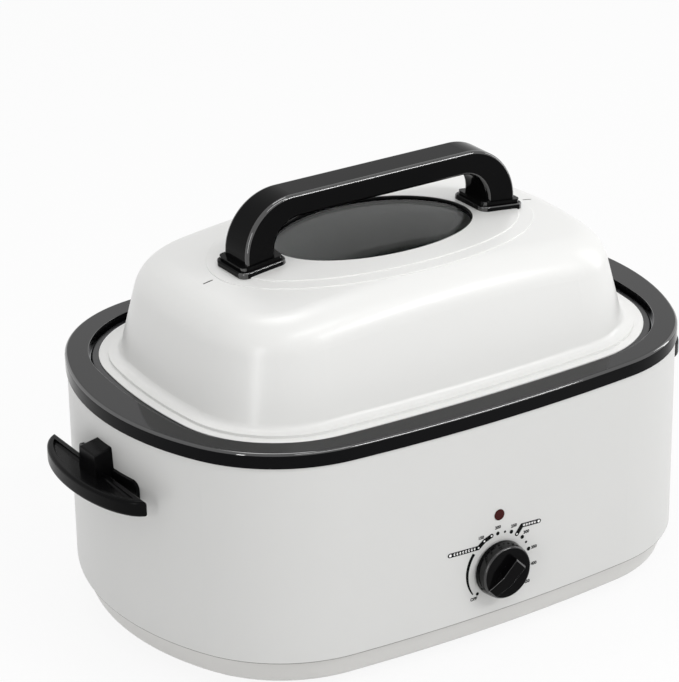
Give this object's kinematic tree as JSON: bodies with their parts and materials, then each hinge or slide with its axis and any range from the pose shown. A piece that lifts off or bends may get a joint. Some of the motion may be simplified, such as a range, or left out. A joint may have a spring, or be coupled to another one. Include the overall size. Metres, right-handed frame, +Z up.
{
  "type": "electric roaster oven",
  "caption": "Oval electric roaster oven with a lift-off domed lid and window, arched lid handle, lift-out pan and rack, side grips and a front dial.",
  "frame": {"origin": "on the worktop, midway between the four feet and under the middle of the oven", "axes": "+X along the oven to the right as seen from the front, +Y from the controls to the back, +Z up"},
  "size_m": [0.628, 0.4217, 0.3895],
  "materials": {
    "casing_enamel": "satin powder coat, near white",
    "lid_enamel": "glossy white enamel",
    "rim_enamel": "glossy black enamel",
    "pan_enamel": "glossy black porcelain enamel",
    "black_phenolic": "moulded, glossy black",
    "window_glass": "clear tempered glass",
    "gasket_rubber": "black silicone rubber",
    "foot_rubber": "black rubber",
    "plated_steel": "zinc plated",
    "aluminised_steel": "dull aluminised sheet",
    "heater_jacket": "foil-faced jacket",
    "glass_fibre": "pale glass-fibre mat",
    "rack_chrome": "bright plated wire",
    "thermostat_ceramic": "unglazed, pale",
    "terminal_ceramic": "glazed, pale",
    "red_lens": "clear dark red",
    "lamp_glass": "small neon lamp",
    "gland_plastic": "black bushing",
    "lead_sleeve": "heat-proof sleeving"
  },
  "bodies": {
    "oven": {"outer_shell": "casing_enamel", "base_pan": "casing_enamel", "rim_collar": "rim_enamel", "feet": "foot_rubber", "foot_screws": "plated_steel", "liner_brackets": "plated_steel", "cookwell_liner": "aluminised_steel", "heater_band": "heater_jacket", "insulation_blanket": "glass_fibre", "side_handle_right": "black_phenolic", "side_handle_left": "black_phenolic", "handle_backplates": "plated_steel", "side_handle_screws": "plated_steel", "thermostat_body": "thermostat_ceramic", "thermostat_bracket": "plated_steel", "indicator_lens": "red_lens", "indicator_lamp": "lamp_glass", "cord_gland": "gland_plastic", "terminal_block": "terminal_ceramic", "thermal_cutout": "plated_steel", "thermostat_leads": "lead_sleeve", "heater_leads": "lead_sleeve", "lamp_leads": "lead_sleeve"},
    "pan": {"insert_pan": "pan_enamel"},
    "rack": {"roasting_rack": "rack_chrome"},
    "lid": {"lid_shell": "lid_enamel", "window_glass": "window_glass", "window_gasket": "gasket_rubber", "window_retainer": "plated_steel", "lid_handle": "black_phenolic", "handle_pad_left": "black_phenolic", "handle_pad_right": "black_phenolic", "lid_handle_screws": "plated_steel", "lid_handle_washers": "plated_steel"},
    "knob": {"control_knob": "black_phenolic", "thermostat_shaft": "plated_steel"}
  },
  "joints": [
    {"name": "knob_turn", "type": "hinge", "parent": "oven", "child": "knob", "pos_m": [0, -0.2, 0.0785], "axis": [0, 1, 0], "range_deg": [0, 265]},
    {"name": "pan_lift", "type": "slide", "parent": "oven", "child": "pan", "axis": [0, 0, 1], "range_m": [0, 0.22]},
    {"name": "rack_lift", "type": "slide", "parent": "pan", "child": "rack", "axis": [0, 0, 1], "range_m": [0, 0.2]},
    {"name": "lid_lift", "type": "slide", "parent": "rack", "child": "lid", "axis": [0, 0, 1], "range_m": [0, 0.2]}
  ]
}
